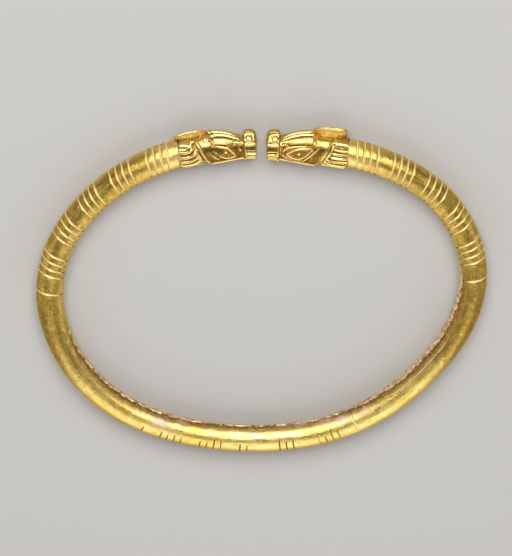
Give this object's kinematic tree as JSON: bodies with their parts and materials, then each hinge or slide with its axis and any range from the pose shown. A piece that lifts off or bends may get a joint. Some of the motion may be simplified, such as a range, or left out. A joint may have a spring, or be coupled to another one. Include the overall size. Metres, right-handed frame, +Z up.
{
  "type": "bracelet",
  "caption": "Open oval bracelet of gold tube with bands of engraved rings, ending in confronted beast heads that carry small empty collets.",
  "frame": {"origin": "middle of the outline, on the plane that the bracelet lies on", "axes": "+X across the long way of the oval, towards the right arm; +Y towards the heads; +Z up, the way the wrist goes through"},
  "size_m": [0.08, 0.0612, 0.0048],
  "materials": {
    "hoop_gold": "soft polish of worn old gold, with dark dirt in the engraved lines",
    "head_gold": "chased and worn old gold, brown in the hollows",
    "crest_gold": "warm old gold, orange at the solder"
  },
  "bodies": {
    "root": {"hoop": "hoop_gold", "head_left": "head_gold", "head_right": "head_gold", "crest_left": "crest_gold", "crest_right": "crest_gold"}
  },
  "joints": []
}
